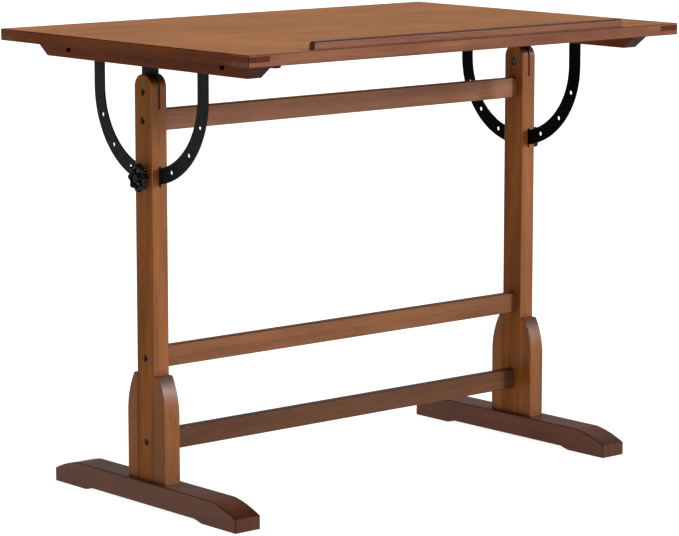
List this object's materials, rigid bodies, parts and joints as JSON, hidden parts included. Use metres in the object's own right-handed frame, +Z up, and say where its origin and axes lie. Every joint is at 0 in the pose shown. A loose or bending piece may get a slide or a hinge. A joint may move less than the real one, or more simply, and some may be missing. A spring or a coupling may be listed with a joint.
{
  "type": "drafting table",
  "caption": "Wooden drafting table on two T-shaped legs, with a tilting top carried by perforated steel arcs, lock screws with handwheels and a slide-up pencil ledge.",
  "frame": {"origin": "on the floor, under the centre of the level tabletop", "axes": "+X to the sitter's right along the top's long side, +Y from the sitter to the back, +Z up"},
  "size_m": [0.914, 0.64, 0.7532],
  "materials": {
    "top_wood": "satin lacquered, warm brown, fine grain along the width",
    "edging_wood": "satin lacquered solid wood, darker than the panel",
    "frame_wood": "semi-gloss lacquered solid wood",
    "rail_wood": "semi-gloss lacquered solid wood",
    "dowel_wood": "bare beech",
    "black_steel": "satin black powder coat",
    "black_wheel": "glossy black enamel",
    "dark_fastener": "blackened steel",
    "plain_steel": "zinc plated",
    "brass": "plain brass"
  },
  "bodies": {
    "frame": {"left_post": "frame_wood", "right_post": "frame_wood", "left_front_cheek": "frame_wood", "left_back_cheek": "frame_wood", "right_front_cheek": "frame_wood", "right_back_cheek": "frame_wood", "left_foot": "frame_wood", "right_foot": "frame_wood", "top_rail": "rail_wood", "middle_rail": "rail_wood", "bottom_rail": "rail_wood", "rail_dowels": "dowel_wood", "cheek_dowels": "dowel_wood", "post_dowels": "dowel_wood", "rail_bolts": "dark_fastener", "pivot_bolts": "dark_fastener", "pivot_nuts": "dark_fastener", "foot_bolts": "dark_fastener", "rail_barrel_nuts": "plain_steel", "lock_inserts": "brass", "foot_inserts": "brass"},
    "top": {"top_panel": "top_wood", "front_edging": "edging_wood", "back_edging": "edging_wood", "left_edging": "edging_wood", "right_edging": "edging_wood", "left_batten": "edging_wood", "right_batten": "edging_wood", "left_cleat": "edging_wood", "right_cleat": "edging_wood", "left_arc": "black_steel", "right_arc": "black_steel", "left_pivot_plate": "black_steel", "right_pivot_plate": "black_steel", "batten_screws": "dark_fastener", "pocket_screws": "dark_fastener", "cleat_screws": "dark_fastener", "bracket_screws": "dark_fastener"},
    "ledge": {"pencil_ledge": "edging_wood", "ledge_guide_pins": "plain_steel"},
    "left_lock_washer": {"left_lock_washer": "plain_steel"},
    "left_lock_screw": {"left_handwheel": "black_wheel", "left_lock_stud": "plain_steel"},
    "right_lock_washer": {"right_lock_washer": "plain_steel"},
    "right_lock_screw": {"right_handwheel": "black_wheel", "right_lock_stud": "plain_steel"}
  },
  "joints": [
    {"name": "top_tilt", "type": "hinge", "parent": "frame", "child": "top", "pos_m": [0, -0.005, 0.6585], "axis": [1, 0, 0], "range_deg": [-69.9, 69.9]},
    {"name": "ledge_slide", "type": "slide", "parent": "top", "child": "ledge", "axis": [0, 0, -1], "range_m": [0, 0.012]},
    {"name": "left_lock_feed", "type": "slide", "parent": "frame", "child": "left_lock_washer", "axis": [1, 0, 0], "range_m": [0, 0.004]},
    {"name": "left_lock_turn", "type": "hinge", "parent": "left_lock_washer", "child": "left_lock_screw", "pos_m": [-0.42065, -0.005, 0.5255], "axis": [1, 0, 0], "range_deg": [0, 1440]},
    {"name": "right_lock_feed", "type": "slide", "parent": "frame", "child": "right_lock_washer", "axis": [-1, 0, 0], "range_m": [0, 0.004]},
    {"name": "right_lock_turn", "type": "hinge", "parent": "right_lock_washer", "child": "right_lock_screw", "pos_m": [0.42065, -0.005, 0.5255], "axis": [-1, 0, 0], "range_deg": [0, 1440]}
  ],
  "couplings": [
    {"joint": "left_lock_feed", "follows": "left_lock_turn", "m_per_rad": 0.00015915},
    {"joint": "right_lock_feed", "follows": "right_lock_turn", "m_per_rad": 0.00015915}
  ]
}
